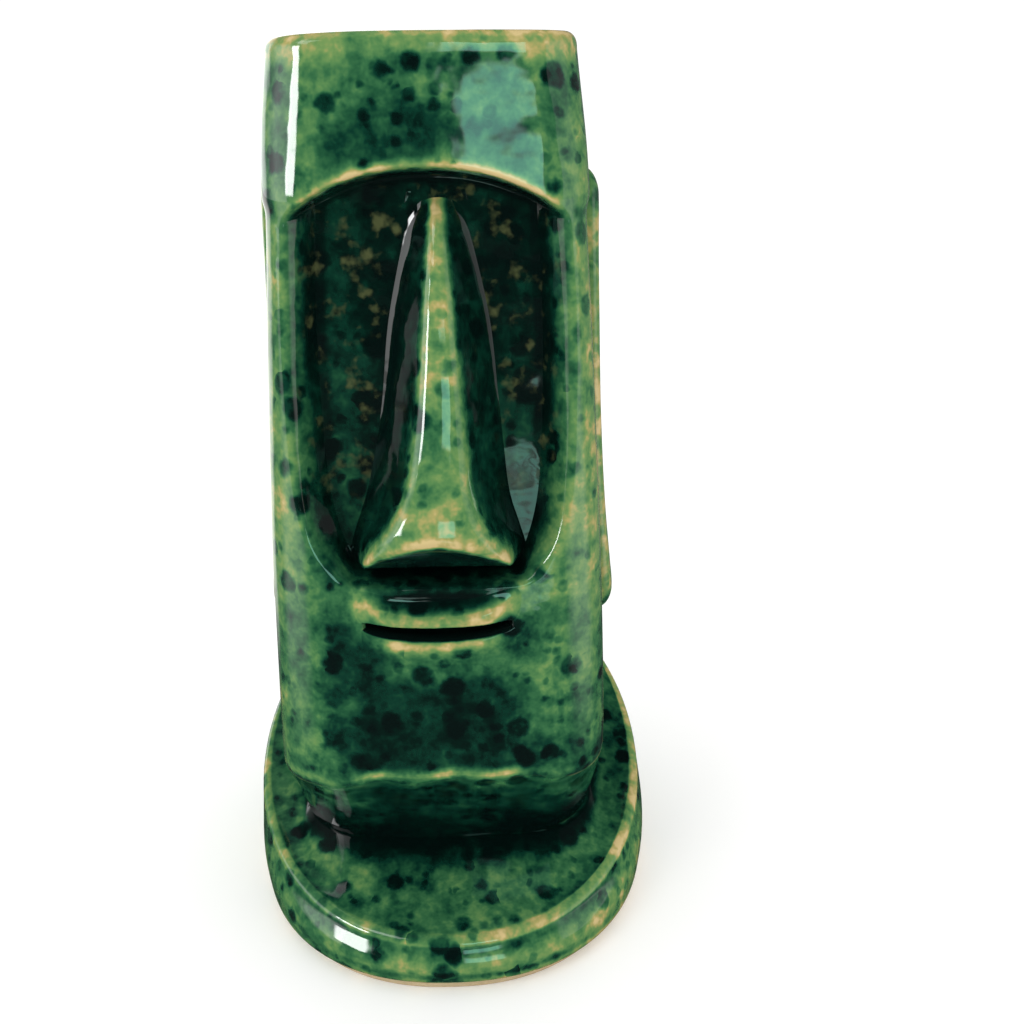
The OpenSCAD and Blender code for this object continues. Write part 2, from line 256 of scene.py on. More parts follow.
def hollow_mask(x, z):
    top = smooth(-0.2, 2.2, brow_line(x) - z)
    e = hollow_half(z)
    s = unit((np.abs(x) / e - CREASE / PARTS[0]) / (1.03 - CREASE / PARTS[0]))
    side = 1 - (4 * s**1.1 - s**4.4) / 3
    high = mix(85.6, 93, smooth(15, 20, np.abs(x)))
    low = smooth(83.0, high, z)
    return top * side * low


def hollow(x, z):
    socket = 0.8 * bell(np.abs(x) - 12, 8) * bell(z - 138, 20)
    return hollow_mask(x, z) * (front_depth(z) - hollow_depth(z) + socket)


def mouth_slit(x, z):
    return 4.8 * np.exp(-(((z - mouth_line(x)) / 2.0) ** 4)) * (1 - smooth(12.6, 14.4, np.abs(x)))


def slit_half(x):
    """Half the opening of the mouth, which closes towards its corners."""
    return 0.2 + 0.98 * unit(1 - (x / 14.2) ** 2) ** 0.4


def muzzle(x, z):
    swell = 1.3 * bell(z - 77, 8) * (1 - smooth(8, 20, np.abs(x)))
    philtrum = 0.9 * bell(z - 81, 2.2) * bell(x, 10)
    return swell - philtrum


def crown(x, z):
    """The front is slightly rounded from side to side."""
    return mix(1.1, 2.2, smooth(150, 175, z)) * (unit(np.abs(x) / 26) ** 2)


def face_front(x, z):
    """How far the bare face stands out from the axis."""
    return front_depth(z) - crown(x, z) - hollow(x, z) + muzzle(x, z)


def carve(p):
    """Cuts the relief of the face into the front of the head."""
    x, z = p[..., 0], p[..., 2]
    front = smooth(-4, -16, p[..., 1])
    out = p.copy()
    out[..., 1] += front * (crown(x, z) + hollow(x, z) + mouth_slit(x, z) - muzzle(x, z))
    out[..., 2] += front * (chin_line(x) - CHIN) * smooth(27, 42, z) * (1 - smooth(45, 62, z))
    return out


def settle(p):
    """The small ways in which the made head is not true: it leans, and its rim dips at the corners."""
    out = p.copy()
    out[..., 0] -= 0.25 * smooth(55, 110, p[..., 2]) + 0.25 * smooth(150, 175, p[..., 2])
    dip = unit(np.abs(p[..., 0] - 3) / 28) ** 3 * smooth(-5, -20, p[..., 1])
    out[..., 2] -= (0.55 - 0.25 * np.sign(p[..., 0])) * dip * smooth(160, 178, p[..., 2])
    sway_x = 0.004 * sway(p, 70, 3)
    out[..., :2] *= (1 + sway_x)[..., None]
    return out


# ---- meshes -------------------------------------------------------------------
def grid_mesh(name, p, wrap_rows=False, cap=False):
    """A quad mesh from rows of columns. The columns close into a ring; the rows may too."""
    rows, cols = p.shape[:2]
    index = np.arange(rows * cols).reshape(rows, cols)
    a = index if wrap_rows else index[:-1]
    b = np.roll(index, -1, 0) if wrap_rows else index[1:]
    quads = np.stack([a, np.roll(a, -1, 1), np.roll(b, -1, 1), b], -1).reshape(-1, 4)
    loops = quads.reshape(-1)
    starts = np.arange(len(quads)) * 4
    if cap:
        ends = [index[0][::-1], index[-1]]
        starts = np.concatenate([starts, [len(loops), len(loops) + cols]])
        loops = np.concatenate([loops, *ends])
    me = bpy.data.meshes.new(name)
    me.vertices.add(rows * cols)
    me.vertices.foreach_set("co", (p.reshape(-1, 3) * MM).ravel())
    me.loops.add(len(loops))
    me.loops.foreach_set("vertex_index", loops.astype(np.int32))
    me.polygons.add(len(starts))
    me.polygons.foreach_set("loop_start", starts.astype(np.int32))
    me.update(calc_edges=True)
    me.validate()
    me.shade_smooth()
    ob = bpy.data.objects.new(name, me)
    bpy.context.scene.collection.objects.link(ob)
    return ob


def bend_of(p):
    """How sharply the surface bends outwards (positive) or inwards, per millimetre."""
    du = np.roll(p, -1, 1) - np.roll(p, 1, 1)
    dv = np.gradient(p, axis=0)
    n = np.cross(du, dv)
    n /= np.linalg.norm(n, axis=-1, keepdims=True) + 1e-9
    nu = np.roll(n, -1, 1) - np.roll(n, 1, 1)
    nv = np.gradient(n, axis=0)
    ku = (nu * du).sum(-1) / ((du * du).sum(-1) + 1e-4)
    kv = (nv * dv).sum(-1) / ((dv * dv).sum(-1) + 1e-4)
    k = np.clip(ku, -1, 1) + np.clip(kv, -1, 1)
    for _ in range(3):
        k = 0.25 * np.roll(k, 1, 1) + 0.5 * k + 0.25 * np.roll(k, -1, 1)
        k[1:-1] = 0.25 * k[:-2] + 0.5 * k[1:-1] + 0.25 * k[2:]
    return k


def put(ob, name, values):
    layer = ob.data.attributes.new(name, "FLOAT", "POINT")
    layer.data.foreach_set("value", np.asarray(values, np.float32).reshape(-1))


# ---- head -------------------------------------------------------------------
low_rows = spaced([(0, 0.02), (0.38, 0.013), (0.62, 0.02), (1, 0.02)])
mouth_rows = [(LOW_TOP, 0.8), (70, 0.33), (87, 0.4), (92, 0.7)]
brow_rows = [(144, 0.45), (151, 0.33), (161, 0.7), (HEIGHT - RIM_ROUND, 1)]
high_rows = spaced(mouth_rows + brow_rows)


def arch_bend(z):
    """Rows near the brow follow its arch."""
    share = np.where(part_of == 0, share_of**2, np.where(part_of == 1, 1 - share_of, 0))
    weight = smooth(112, 146, z) * (1 - smooth(BROW + 2, BROW + 17, z))
    return z - 8 * share * weight


def outer_rings():
    z_low = np.stack([mix(collar - COLLAR_TUCK, LOW_TOP, s) for s in low_rows[:-1]])
    z_high = np.stack([arch_bend(np.full(HALF_COLUMNS, z)) for z in high_rows])
    z = np.concatenate([z_low, z_high])
    part, t = np.broadcast_to(part_of, z.shape), np.broadcast_to(share_of, z.shape)
    x, y = outline(part, t, z)
    return both_sides(np.stack([x, y, z], -1))


def inner_rings():
    heights = spaced([(HEIGHT - RIM_ROUND, 1.5), (160, 2.5), (70, 2.5), (LOW_TOP, 1)])
    z = np.stack([np.full(HALF_COLUMNS, h) for h in heights])
    low = np.stack([mix(collar - COLLAR_TUCK, LOW_TOP, s) for s in np.linspace(0.95, 0, 20)])
    z = np.concatenate([z, low])
    part, t = np.broadcast_to(part_of, z.shape), np.broadcast_to(share_of, z.shape)
    x, y = outline(part, t, z, WALL)
    clear = smooth(72, 86, z) * (1 - smooth(158, 168, z)) * (front_depth(z) - hollow_depth(z))
    y = y + clear * unit(-y / (front_depth(z) - WALL)) ** 3
    return both_sides(np.stack([x, y, z], -1))


def lip_rings():
    """The rounded rim."""
    top = np.full(HALF_COLUMNS, HEIGHT - RIM_ROUND)
    rings = []
    for a in np.linspace(0, math.pi, 18)[1:-1]:
        inset = WALL / 2 * (1 - math.cos(a))
        x, y = outline(part_of, share_of, top, inset)
        z = HEIGHT - RIM_ROUND + RIM_ROUND * math.sin(a) ** 0.75
        rings.append(np.stack([x, y, np.full(HALF_COLUMNS, z)], -1))
    return both_sides(np.stack(rings))


def crown_lip(p):
    out = p.copy()
    out[..., 1] += smooth(-4, -16, p[..., 1]) * crown(p[..., 0], np.full(p.shape[:2], HEIGHT - RIM_ROUND))
    return out


outer = soften(outer_rings(), 10)
lip = crown_lip(soften(lip_rings(), 10))
inner = soften(inner_rings(), 10)
outer = carve(outer)
head_flat = np.concatenate([outer, lip, inner])
head_points = settle(head_flat)
head = grid_mesh("head_cup", head_points, wrap_rows=True)


def crease_hollow():
    """Keeps the shading sharp where the sides of the hollow meet its floor."""
    me, cols = head.data, head_flat.shape[1]
    ends = np.zeros(len(me.edges) * 2, np.int32)
    me.edges.foreach_get("vertices", ends)
    ends = ends.reshape(-1, 2)
    z = head_flat[..., 2].reshape(-1)[ends]
    along = (ends[:, 0] % cols == ends[:, 1] % cols) & (ends.max(1) < outer.shape[0] * cols)
    column = ends[:, 0] % cols
    sharp = along & ((column == CREASE) | (column == cols - CREASE)) & (z.min(1) > 88) & (z.max(1) < 155)
    me.attributes.new("sharp_edge", "BOOLEAN", "EDGE").data.foreach_set("value", sharp)


crease_hollow()


# ---- plinth -------------------------------------------------------------------
def oval(angle, a, b, square=2.0):
    """An oval, squarer the higher its power."""
    sn, cs = np.sin(angle), np.cos(angle)
    r = (np.abs(sn) ** square + np.abs(cs) ** square) ** (-1 / square)
    return a * sn * r, OVAL_SHIFT - b * cs * r


# rows of the plinth: the round lower edge, the wall, the round upper edge and the top
EDGE_ROWS, WALL_ROWS, RIDGE_ROWS, TOP_ROWS = 7, 29, 13, 55


def places(count):
    """Even steps from 0 to 1, without the 0."""
    return np.linspace(0, 1, count + 1)[1:]


def plinth_rings():
    rings = []
    crest = RIDGE_LOW + 0.6 + (RIDGE_HIGH - RIDGE_LOW) * ((1 - np.cos(around)) / 2) ** 1.35

    def ring(a, b, z, square):
        x, y = oval(around, a, b, square)
        rings.append(np.stack([x, y, z + 0 * around], -1))

    base_a, base_b = PLINTH_ACROSS - 2.4, PLINTH_ALONG - 2.2
    ring(PLINTH_ACROSS - 8, PLINTH_ALONG - 8, FOOT_HEIGHT, PLINTH_SQUARE)
    ring(base_a, base_b, FOOT_HEIGHT, PLINTH_SQUARE)
    for a in places(EDGE_ROWS) * math.pi / 2:
        out, up = LOWER_EDGE * math.sin(a), LOWER_EDGE * (1 - math.cos(a))
        ring(base_a + out, base_b + out, FOOT_HEIGHT + up, PLINTH_SQUARE)
    wall_a, wall_b = RIDGE_HALF + 1.3, RIDGE_DEEP + 1.4
    for s in places(WALL_ROWS):
        out = 0.9 * math.sin(math.pi * s) ** 1.5
        a = mix(PLINTH_ACROSS - 0.4, wall_a, s) + out
        b = mix(PLINTH_ALONG - 0.2, wall_b, s**1.5) + out
        z = mix(FOOT_HEIGHT + LOWER_EDGE, crest - UPPER_EDGE, s)
        ring(a, b, z, mix(PLINTH_SQUARE, RIDGE_SQUARE, s))
    for a in places(RIDGE_ROWS) * math.pi / 2 * 0.9:
        back, up = UPPER_EDGE * (1 - math.cos(a)), UPPER_EDGE * math.sin(a)
        ring(wall_a - back, wall_b - back, crest - UPPER_EDGE + up, RIDGE_SQUARE)
    wall = np.stack(rings[2:])
    for _ in range(8):
        wall[1:-1] = 0.25 * wall[:-2] + 0.5 * wall[1:-1] + 0.25 * wall[2:]
    rings[2:] = list(wall)
    rx, ry, rz = np.moveaxis(rings[-1], -1, 0)
    nx, ny = outline(part_of, share_of, collar)
    for t in places(TOP_ROWS):
        sag = 0.15 * math.sin(math.pi * t)
        rings.append(np.stack([mix(rx, nx, t), mix(ry, ny, t), mix(rz, collar, t**1.35) - sag], -1))
    ix, iy = outline(part_of, share_of, collar, WALL * 0.6)
    rings.append(np.stack([ix, iy, collar], -1))
    rings.append(np.stack([ix * 0.98, iy * 0.98, collar - 4], -1))
    floor = FOOT_HEIGHT + WALL
    for s in (0.3, 0.6, 1.0):
        x, y = mix(ix, rx * 0.86, math.sin(s * 1.57)), mix(iy, ry * 0.86, math.sin(s * 1.57))
        rings.append(np.stack([x, y, np.maximum(mix(collar - 5, rz - 5, s), floor + 1)], -1))
    x, y = rx * 0.82, ry * 0.82
    rings.append(np.stack([x, y, 0 * x + floor], -1))
    return both_sides(np.stack(rings))


def set_down(p):
    """The plinth is a little fuller on its left, low down."""
    out = p.copy()
    x, z = p[..., 0], p[..., 2]
    out[..., 0] += 1.1 * (1 - smooth(2, 34, z)) + 0.5 * unit(-x / 40) * smooth(4, 16, z)
    out[..., :2] *= (1 + 0.004 * sway(p, 60, 8))[..., None]
    return out


plinth_flat = plinth_rings()
plinth_points = set_down(plinth_flat)
plinth = grid_mesh("plinth", plinth_points, cap=True)


# ---- pieces laid on the face ------------------------------------------------------
def sheet(x, z, height, tuck):
    """A closed piece laid on the face. Each ring has the front, then the back the other way."""
    top = height(x, z)
    back = np.minimum(top, face_front(x, z)) - tuck
    edge = np.zeros(x.shape, bool)
    edge[[0, -1]] = True
    edge[:, [0, -1]] = True
    top = np.where(edge, back, np.maximum(top, back + 0.05))
    front_p, back_p = np.stack([x, -top, z], -1), np.stack([x, -back, z], -1)
    return np.concatenate([front_p, back_p[:, ::-1]], axis=1)


def nose_axis(z):
    return curve([(84, 0.3), (96, 0.5), (111, 1.4), (130, 1.7), (149, 1.8)], z)


def nose_crest(z):
    tip = [(80, 46.4), (92, 46.4), (96, 46.2), (99, 45.2), (103, 43.4), (111, 40.2)]
    bridge = [(120, 37.4), (128, 34.9), (136, 32.4), (143, 30), (149, 27.3), (153, 23.8), (158, 20)]
    return curve(tip + bridge, z)


def nose_ridge(z):
    wings = [(80, 14.6), (89.5, 14.0), (92, 12.8), (94.4, 11.2), (98, 8.6), (103, 6.5), (111, 5.3)]
    return curve([*wings, (120, 4.4), (128, 3.6), (136, 2.9), (143, 2.2), (154, 1.3)], z)


def nose_valley(z):
    wings = [(80, 17), (88, 16.4), (92, 15.2), (97.5, 13.4)]
    return curve([*wings, (107, 11.6), (116, 10.4), (131, 8.8), (145, 5.8), (154, 3.6)], z)


def nose_edge(u):
    return 95.4 - 6.4 * unit(u / 14) ** 1.7


NOSE_TIP, NOSE_UNDER, NOSE_LOW = 46.4, 37.6, 87.4


def nose_height(x, z):
    u = np.abs(x - nose_axis(z))
    ridge, valley = nose_ridge(z) - 0.8, nose_valley(z) + 0.5
    floor = face_front(x, np.maximum(z, 90)) - 0.05 - 0.12 * unit((u - valley) / 1.0)
    fall = np.maximum((soft_max(u - ridge, 0.0, 0.45) - 0.02) / (valley - ridge), 0)
    flank = np.where(fall < 1, mix(1 - fall, (1 - fall) ** 2, 0.25), 0.75 * (1 - fall))
    top = floor + (nose_crest(z) - (0.031 + 0.03 * smooth(96, 115, z)) * u**2 - floor) * flank
    top = np.maximum(top, floor - 1.5)
    edge = nose_edge(u)
    front = NOSE_TIP - 6.2 * unit(u / 14) ** 2
    climb = unit((z - NOSE_LOW) / (edge - NOSE_LOW)) ** 0.9
    under = NOSE_UNDER + (front - NOSE_UNDER) * climb + np.maximum(z - edge, 0) * 2.2
    under = under - 9 * smooth(88.2, 87.0, z)
    return soft_min(top, under, 0.75)


UPPER_LIP_TOP, LOWER_LIP_LOW, LIP_HALF_LENGTH = 83.9, 67.5, 16.8
LIP_SINK, LIP_TUCK = 0.05, 1.8


def upper_relief(x, z):
    line = mouth_line(x) + 2.6 + 2.2 * unit(np.abs(x) / 15) ** 2.5
    d = z - line
    ridge = np.exp(-((d / np.where(d > 0, 1.9, 3.0)) ** 2)) * (1 - smooth(9, 16.8, np.abs(x)))
    return 1.25 * ridge


def lower_relief(x, z):
    d = z - (mouth_line(x) - 2.4)
    ridge = np.exp(-((d / np.where(d > 0, 2.6, 2.8)) ** 2)) * (1 - smooth(8, 15.6, np.abs(x)))
    return 0.95 * ridge


def round_off(distance, radius):
    """How far a surface falls back near an edge it is rounded into."""
    k = unit(1 - distance / radius)
    return radius * (1 - np.sqrt(1 - 0.998 * k**2))


def upper_lip_height(x, z):
    top = face_front(x, z) + upper_relief(x, z) - LIP_SINK - 1.2 * round_off(UPPER_LIP_TOP - z, 1.2)
    return top - 1.3 * round_off(z - mouth_line(x) - slit_half(x), 0.8)


def lower_lip_height(x, z):
    top = face_front(x, z) + lower_relief(x, z) - LIP_SINK
    return top - 1.3 * round_off(mouth_line(x) - slit_half(x) - z, 0.8)


along_z = spaced([(86.9, 0.25), (104, 0.5), (154.5, 1)])
nose_z, across = np.meshgrid(along_z, np.linspace(-1, 1, 103), indexing="ij")
across = np.sign(across) * np.abs(across) ** 0.85
nose_x = nose_axis(nose_z) + across * (nose_valley(nose_z) + 1.6)
nose_points = sheet(nose_x, nose_z, nose_height, 0.9)
nose = grid_mesh("nose", settle(nose_points), cap=True)

lip_x = np.linspace(-LIP_HALF_LENGTH, LIP_HALF_LENGTH, 90)
lip_v, upper_x = np.meshgrid(np.linspace(0, 1, 44), lip_x, indexing="ij")
upper_z = mix(mouth_line(upper_x) + slit_half(upper_x), UPPER_LIP_TOP, lip_v)
upper_points = sheet(upper_x, upper_z, upper_lip_height, LIP_TUCK)
upper_lip = grid_mesh("upper_lip", settle(upper_points), cap=True)
lower_x = upper_x * 0.95
lower_z = mix(LOWER_LIP_LOW, mouth_line(lower_x) - slit_half(lower_x), lip_v)
lower_points = sheet(lower_x, lower_z, lower_lip_height, LIP_TUCK)
lower_lip = grid_mesh("lower_lip", settle(lower_points), cap=True)


# ---- ears -----------------------------------------------------------------------
def ear_points(side):
    """A long ear, standing off the side, with a rounded top and a heavier lobe."""
    zs = spaced([(EAR_BOTTOM, 0.25), (64, 0.7), (151, 0.25), (EAR_TOP, 1)])
    top, bottom = unit((EAR_TOP - zs) / 5.5), unit((zs - EAR_BOTTOM) / 6.5)
    end = np.sqrt(np.maximum(1 - (1 - top) ** 2, 0)) * np.sqrt(np.maximum(1 - (1 - bottom) ** 2, 0))
    middle = curve([(59, 4.4), (75, 3.6), (110, 3.3), (156, 3.2)], zs)
    half = curve([(59, 7.6), (68, 8.0), (85, 7.4), (110, 7.1), (156, 6.9)], zs) * np.maximum(end, 0.05)
    lobe = [(58, 36.6), (66, 37.4), (73, 36.9), (85, 35.8)]
    outer_x = curve([*lobe, (107, 34.5), (129, 33.8), (150, 33.2), (158, 32.9)], zs)
    rings = []
    for z, c, h, far_out, e in zip(zs, middle, half, outer_x, end):
        turn = np.linspace(0, math.pi, 41)
        y = c - h * np.sign(np.cos(turn)) * np.abs(np.cos(turn)) ** 0.6
        base = half_width(np.array(z), 0.7) - 1.0
        rise = (far_out - base) * np.maximum(e, 0.02) ** 0.7
        shell = 0.9 * bell((y - c) / h, 0.42) * smooth(66, 80, z) * (1 - smooth(138, 148, z))
        x = base + rise * np.sin(turn) ** 0.42 - shell * (np.sin(turn) > 0.3)
        front = np.stack([x, y, np.full_like(x, z)], -1)
        back = np.stack([np.full(9, base - 0.4), np.linspace(y[-1], y[0], 11)[1:-1], np.full(9, z)], -1)
        rings.append(np.concatenate([front, back]))
    p = np.stack(rings)
    if side < 0:
        p = p[:, ::-1] * np.array([-1, 1, 1])
    return p


right_points, left_points = ear_points(1), ear_points(-1)
right_ear = grid_mesh("right_ear", settle(right_points), cap=True)
left_ear = grid_mesh("left_ear", settle(left_points), cap=True)


# ---- foot -------------------------------------------------------------------------
def foot_points():
    turn = np.linspace(0, 2 * math.pi, 200, endpoint=False)
    inside = FOOT_WIDTH
    profile = [
        (0.3, FOOT_HEIGHT + 0.6), (0.0, FOOT_HEIGHT), (0.0, 0.7), (0.2, 0.2), (0.7, 0.0),
        (inside - 0.7, 0.0), (inside - 0.2, 0.2), (inside, 0.7), (inside, FOOT_HEIGHT + 0.6),
    ]
    rings = []
    for inset, z in profile:
        x, y = oval(turn, 40.6 - inset, 50.0 - inset, PLINTH_SQUARE)
        rings.append(np.stack([x + 1.1, y, 0 * turn + z], -1))
    return np.stack(rings)[::-1]


foot = grid_mesh("foot_ring", foot_points(), wrap_rows=True)


# ---- how thick the glaze lies: 0 where it pools dark, 1 where it breaks to the clay; the tone also holds painted shade and painted sheen ----
def face_tone(x, z):
    """The tone of the front of the head, before the edges are picked out."""
    brow = brow_line(x)
    above = smooth(-1, 2, z - brow)
    middle = 1 - smooth(12, 26, np.abs(x))
    forehead = 0.47 + 0.05 * smooth(-6, 20, x) - 0.16 * bell(z - brow - 6, 5) * middle
    chin = 0.17 + 0.3 * smooth(4, 22, x) * smooth(38, 60, z)
    # The terms rising towards the left (negative x) are painted sheen, the reflection of the bright wall
    # at the left.
    chin = chin + 0.18 * smooth(-13, -26, x) + 0.12 * smooth(-20, -28, x)
    chin = chin + 0.2 * bell(z - 67, 4) * bell(x, 17)
    # The last term, rising towards the left, is painted sheen of the bright wall at the left.
    cheek = 0.34 + 0.34 * smooth(5, 25, x) + 0.26 * smooth(-19, -27, x)
    low = mix(chin, cheek, smooth(66, 92, z))
    t = mix(low, forehead, above)
    # The hollow's floor is dark: glaze pooled in the recess, and painted shade there.
    floor = 0.09 + 0.17 * bell(z - 96, 20) + 0.07 * bell(x + 17, 6)
    t = mix(t, floor, hollow_mask(x, z) ** 0.6)
    t = t + 0.5 * bell(z - brow - 0.1, 1.0) * (1 - smooth(18, 26, np.abs(x)))
    mouth = bell(z - 79, 5.5) * (1 - smooth(10, 17, np.abs(x)))
    t = mix(t, 0.12, mouth)
    ends = bell(np.abs(x) - 14.2, 3) * bell(z - 79.5, 4)
    return t + 0.55 * ends


def head_tone(p):
    x, y, z = np.moveaxis(p, -1, 0)
    front = smooth(-14, -24, y)
    side = 0.46 + 0.06 * np.sin(y * 0.55 + 1) + 0.05 * smooth(10, 32, y) - 0.08 * (1 - smooth(40, 80, z))
    t = mix(side, face_tone(x, z), front)
    # Painted shade under the chin, where it overhangs the neck.
    under = smooth(0.3, 3.0, chin_line(x) - z) * smooth(-14, -22, y)
    t = mix(t, 0.26, under)
    broken = (0.75 + 0.25 * np.sin(x * 0.5 + 2)) * (1 - 0.7 * smooth(13, 21, np.abs(x + 1)))
    t = t + 0.72 * bell(z - chin_line(x) + 0.1, 1.15) * smooth(-20, -32, y) * broken
    t = t + 0.2 * smooth(174, 177.5, z) + 0.12 * smooth(178.6, 179.6, z)
    t = t + np.clip(bend_of(p) * 1.1, -0.12, 0.07)
    # Painted shade in the crease where the head runs down into the plinth.
    rx = np.concatenate([collar, collar[-2:0:-1]])
    t = mix(t, 0.0, bell(np.maximum(z - rx, 0), 8.5))
    # Painted shade in the slot under the nose.
    slot_shade = bell(z - 86.2, 1.6) * (1 - smooth(14, 18, np.abs(x))) * (y < -20)
    t = mix(t, -0.1, slot_shade)
    # The last term is painted shade inside the mouth's slit.
    return t - 0.6 * (mouth_slit(x, z) > 1.2) * (y < -20)


# The rows of the plinth's top; the last four rows of its edge are coloured with it.
TOP_FIRST = 2 + EDGE_ROWS + WALL_ROWS + RIDGE_ROWS
TOP_START, TOP_END = TOP_FIRST - 4, TOP_FIRST + TOP_ROWS


def plinth_tone(p):
    x, _, z = np.moveaxis(p, -1, 0)
    # Lighter towards the sides: painted sheen of the pale room along the plinth's edges.
    t = 0.46 + 0.14 * smooth(22, 42, np.abs(x))
    bend = np.clip(bend_of(p) * 1.3, -0.1, 0.3)
    top = np.zeros(x.shape)
    top[TOP_START:TOP_END] = 1
    rows = np.arange(p.shape[0])[:, None] + 0 * x
    share = unit((rows - TOP_START) / (TOP_END - TOP_START))
    t = mix(t, 0.49, smooth(0.0, 0.12, share) * top)
    t = t + bend * mix(0.55, 1.0, smooth(-10, 25, x))
    # Painted shade on the plinth's top where it runs in under the neck.
    t = mix(t, 0.0, smooth(0.6, 0.96, share) * top)
    t = t + 0.2 * (1 - smooth(1.8, 3.6, z))
    return t


def head_fleck(p):
    """Where tan flecks show: in the hollow of the face."""
    x, y, z = np.moveaxis(p, -1, 0)
    return hollow_mask(x, z) * (y < -18) * smooth(90, 110, z)


def nose_tone(p):
    x, _, z = np.moveaxis(p, -1, 0)
    u = np.abs(x - nose_axis(z))
    ridge, valley = nose_ridge(z) - 0.5, nose_valley(z)
    crest = 0.66 + 0.16 * smooth(112, 140, z) + 0.05 * bell(z - 96, 5)
    flank = mix(0.3, 0.06, unit((u - ridge) / (valley - ridge)) ** 0.6)
    t = mix(crest, flank, smooth(-0.6, 1.2, u - ridge))
    edge = nose_edge(u)
    t = t + 0.24 * bell(z - edge - 0.5, 1.4) * (u < 15)
    # Painted shade on the underside of the nose, below its lower edge.
    t = mix(t, 0.1, smooth(0.2, 1.8, edge - z))
    # A painted highlight along the left edge of the nose's ridge.
    t = t + 0.1 * bell(u - ridge + 0.2, 0.8) * (x < nose_axis(z))
    # Painted shade in the slot beneath the nose.
    return mix(t, -0.1, smooth(88.4, 87.4, z))


def lip_tone(p, relief):
    x, _, z = np.moveaxis(p, -1, 0)
    t = face_tone(x, z)
    gap = np.abs(z - mouth_line(x)) - slit_half(x)
    # The raised lips are lighter where the glaze breaks; the last term is painted shade where they turn
    # into the slit.
    return t + 0.68 * unit(relief(x, z) / 0.95) ** 1.6 - 0.9 * (1 - smooth(0.05, 0.55, gap))


def ear_tone(p):
    return 0.6 + np.clip(bend_of(p) * 1.0, -0.4, 0.2)


put(head, "tone", head_tone(head_flat))
put(head, "fleck", head_fleck(head_flat))
put(plinth, "tone", plinth_tone(plinth_flat))
put(nose, "tone", nose_tone(nose_points))
put(upper_lip, "tone", lip_tone(upper_points, upper_relief))
put(lower_lip, "tone", lip_tone(lower_points, lower_relief))
put(right_ear, "tone", ear_tone(right_points))
put(left_ear, "tone", ear_tone(left_points))


# ---- materials ------------------------------------------------------------------
class Nodes:
    """A short way to write a shader."""

    def __init__(self, name):
        self.mat = bpy.data.materials.new(name)
        self.mat.use_nodes = True
        self.tree = self.mat.node_tree
        self.bsdf = self.tree.nodes["Principled BSDF"]
        self.place = self.add("ShaderNodeTexCoord").outputs["Object"]

    def add(self, kind, **settings):
        node = self.tree.nodes.new(kind)
        for key, value in settings.items():
            setattr(node, key, value)
        return node

    def feed(self, socket, value):
        if isinstance(value, bpy.types.NodeSocket):
            self.tree.links.new(value, socket)
        else:
            socket.default_value = value

    def math(self, operation, a, b=0.0, c=0.0):
        node = self.add("ShaderNodeMath", operation=operation)
        for socket, value in zip(node.inputs, (a, b, c)):
            self.feed(socket, value)
        return node.outputs[0]

    def stretch(self, x, y, z):
        node = self.add("ShaderNodeMapping")
        self.feed(node.inputs["Vector"], self.place)
        node.inputs["Scale"].default_value = (x, y, z)
        return node.outputs["Vector"]

    def noise(self, size, detail=3.0, rough=0.55, warp=0.0, vector=None):
        """Clouds about size millimetres across, from -0.5 to 0.5."""
        node = self.add("ShaderNodeTexNoise")
        self.feed(node.inputs["Vector"], vector or self.place)
        node.inputs["Scale"].default_value = 1000 / size
        node.inputs["Detail"].default_value = detail
        node.inputs["Roughness"].default_value = rough
        node.inputs["Distortion"].default_value = warp
        return self.math("SUBTRACT", node.outputs["Fac"], 0.5)

    def band(self, value, low, high, out_low=0.0, out_high=1.0):
        node = self.add("ShaderNodeMapRange", interpolation_type="SMOOTHSTEP")
        self.feed(node.inputs["Value"], value)
        node.inputs["From Min"].default_value = low
        node.inputs["From Max"].default_value = high
        node.inputs["To Min"].default_value = out_low
        node.inputs["To Max"].default_value = out_high
        return node.outputs["Result"]

    def shaken(self):
        """Places moved about a little, so that round things are not quite round."""
        node = self.add("ShaderNodeTexNoise")
        self.feed(node.inputs["Vector"], self.place)
        node.inputs["Scale"].default_value = 400
        move = self.add("ShaderNodeVectorMath", operation="MULTIPLY_ADD")
        self.feed(move.inputs[0], node.outputs["Color"])
        move.inputs[1].default_value = (0.0016, 0.0016, 0.0016)
        self.feed(move.inputs[2], self.place)
        return move.outputs[0]

    def dots(self, cell, radius, soft, share):
        """Round spots: one in some of the cells, of differing size."""
        node = self.add("ShaderNodeTexVoronoi")
        self.feed(node.inputs["Vector"], self.shaken())
        node.inputs["Scale"].default_value = 1000 / cell
        split = self.add("ShaderNodeSeparateColor")
        self.feed(split.inputs[0], node.outputs["Color"])
        there = self.math("GREATER_THAN", split.outputs[0], 1 - share)
        size = self.math("MULTIPLY_ADD", split.outputs[1], 0.6 * radius / cell, 0.6 * radius / cell)
        near = self.math("SUBTRACT", size, node.outputs["Distance"])
        return self.math("MULTIPLY", self.band(near, -soft / cell, soft / cell), there)

    def ramp(self, value, stops):
        node = self.add("ShaderNodeValToRGB")
        elements = node.color_ramp.elements
        elements.remove(elements[-1])
        elements[0].position, elements[0].color = stops[0][0], (*stops[0][1], 1)
        for at, colour in stops[1:]:
            elements.new(at).color = (*colour, 1)
        self.feed(node.inputs["Fac"], value)
        return node.outputs["Color"]

    def blend(self, factor, a, b):
        node = self.add("ShaderNodeMix", data_type="RGBA")
        self.feed(node.inputs[0], factor)
        self.feed(node.inputs[6], a)
        self.feed(node.inputs[7], b)
        return node.outputs[2]


